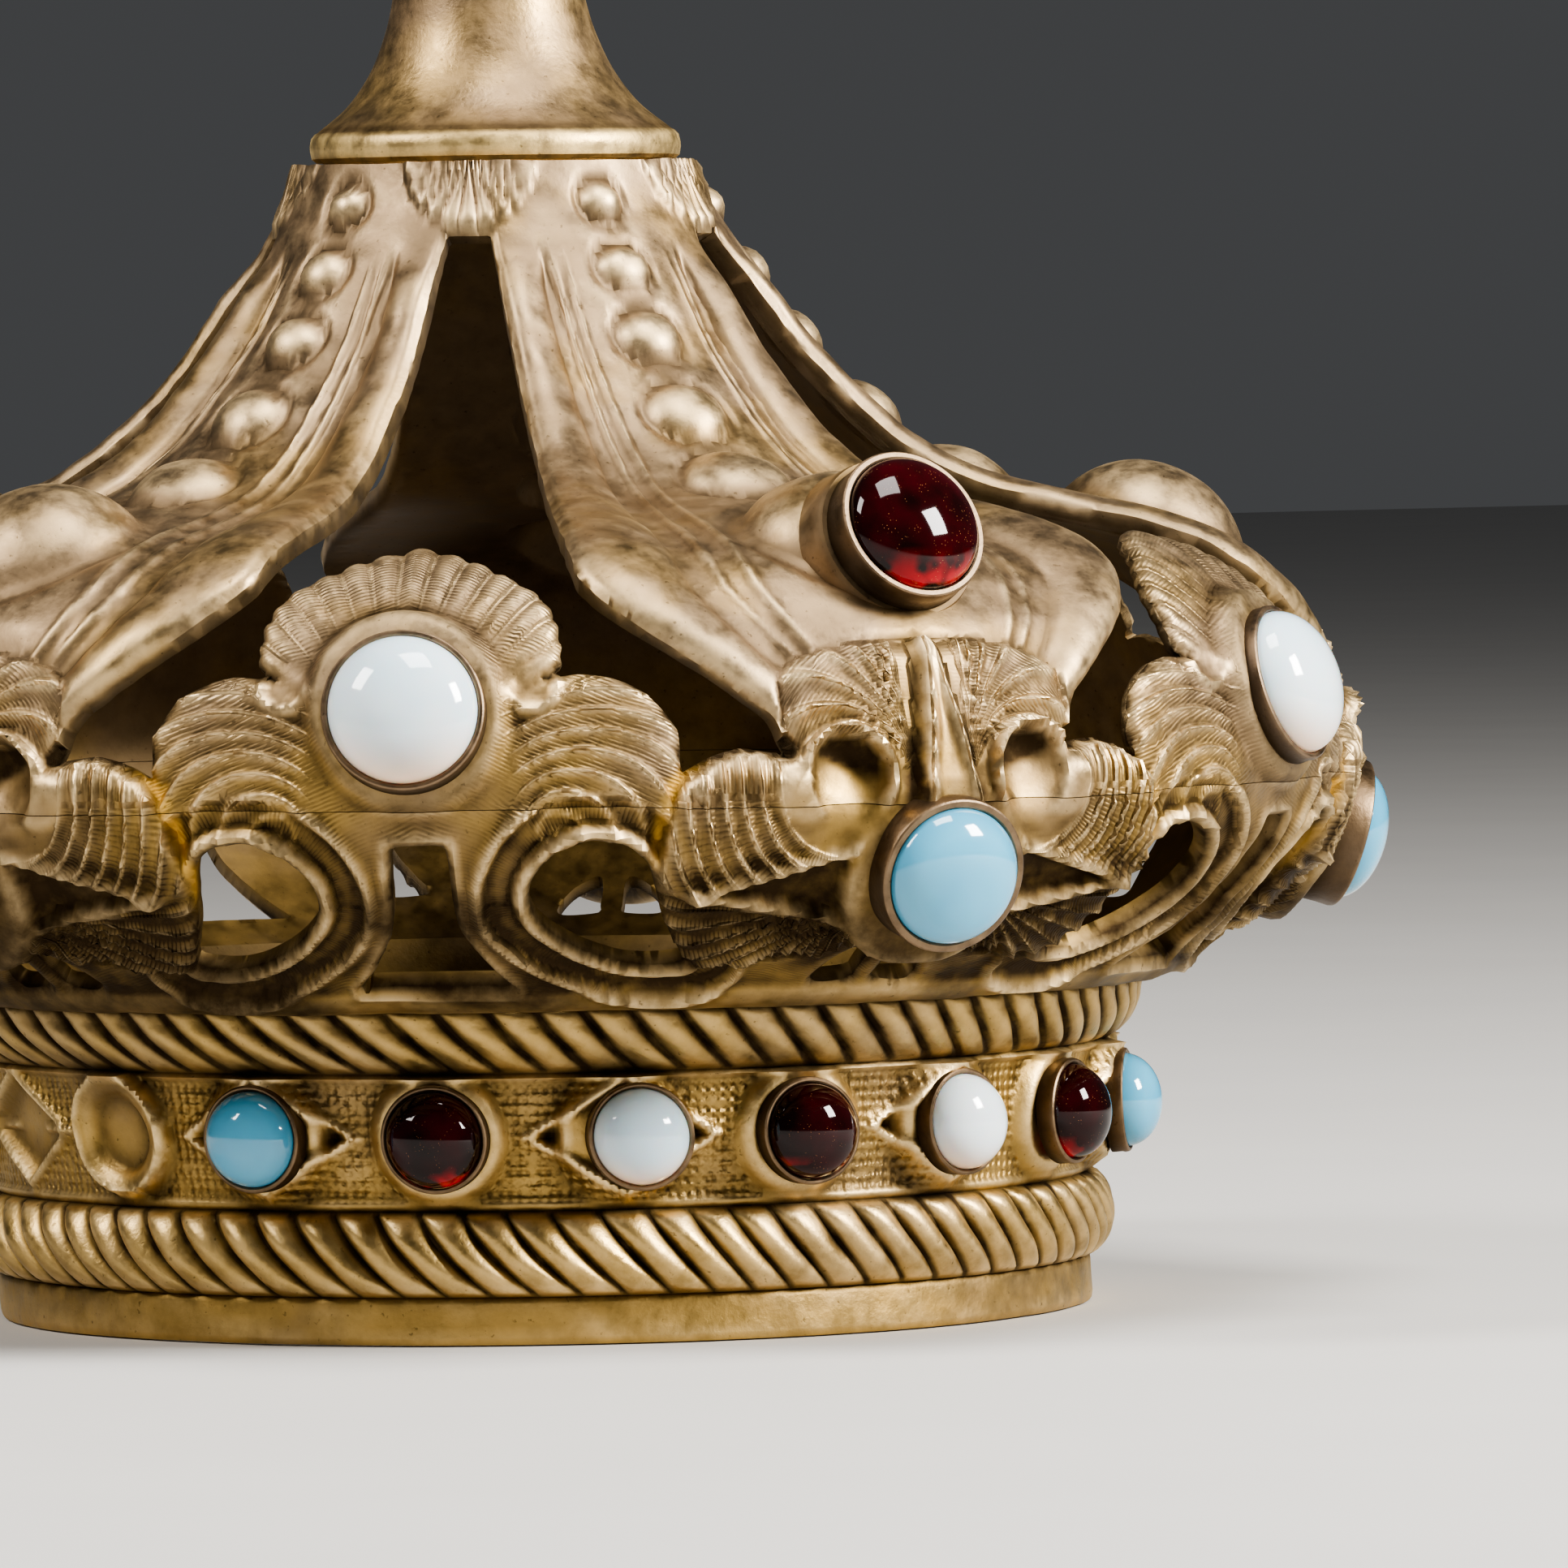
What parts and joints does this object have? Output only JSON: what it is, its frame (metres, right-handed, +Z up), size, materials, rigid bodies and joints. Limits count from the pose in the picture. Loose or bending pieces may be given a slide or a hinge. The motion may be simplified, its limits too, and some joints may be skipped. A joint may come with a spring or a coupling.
{
  "type": "torah crown",
  "caption": "Small openwork crown of gilt brass: a roped band, a scroll-and-shell gallery and beaded arches rising to a trumpet finial, set with glass stones.",
  "frame": {"origin": "centre of the box that holds the crown, on the surface it stands on; the leaning crown's foot is 0.6 mm to the right of it", "axes": "+Z up; -Y towards the front ornament, the one whose arch carries a red stone; +X to the right seen from the front. The crown leans 1.8 degrees towards -X"},
  "size_m": [0.1126, 0.1171, 0.1217],
  "materials": {
    "band_brass": "worn satin gilding, warm gold with dark brown in the hollows",
    "gallery_brass": "worn gilding over hatched ornament, olive brown in the hollows",
    "dome_brass": "dull brown-grey patina with pale gold on the high places",
    "finial_brass": "smooth satin gilding, slightly tarnished, brighter on the rim",
    "stone_cups": "dark bronze-brown, satin",
    "turquoise_glass": "opaque sky-blue glass, polished",
    "opal_glass": "milky white glass with a warm glow at the lower rim, polished",
    "garnet_glass": "very dark red glass over foil specks, polished"
  },
  "bodies": {
    "root": {"base_band": "band_brass", "cup_arch": "stone_cups", "cup_band0": "stone_cups", "cup_band1": "stone_cups", "cup_band2": "stone_cups", "cup_band3": "stone_cups", "cup_band4": "stone_cups", "cup_band5": "stone_cups", "cup_band6": "stone_cups", "cup_leaf0": "stone_cups", "cup_leaf1": "stone_cups", "cup_leaf2": "stone_cups", "cup_leaf3": "stone_cups", "cup_leaf4": "stone_cups", "cup_shell0": "stone_cups", "cup_shell1": "stone_cups", "cup_shell2": "stone_cups", "cup_shell3": "stone_cups", "cup_shell4": "stone_cups", "finial": "finial_brass", "garnet_arch": "garnet_glass", "garnet_band1": "garnet_glass", "garnet_band3": "garnet_glass", "garnet_band5": "garnet_glass", "lower_gallery": "gallery_brass", "opal_band2": "opal_glass", "opal_band4": "opal_glass", "opal_shell0": "opal_glass", "opal_shell1": "opal_glass", "opal_shell2": "opal_glass", "opal_shell3": "opal_glass", "opal_shell4": "opal_glass", "turquoise_band0": "turquoise_glass", "turquoise_band6": "turquoise_glass", "turquoise_leaf0": "turquoise_glass", "turquoise_leaf1": "turquoise_glass", "turquoise_leaf2": "turquoise_glass", "turquoise_leaf3": "turquoise_glass", "turquoise_leaf4": "turquoise_glass", "upper_dome": "dome_brass"}
  },
  "joints": []
}
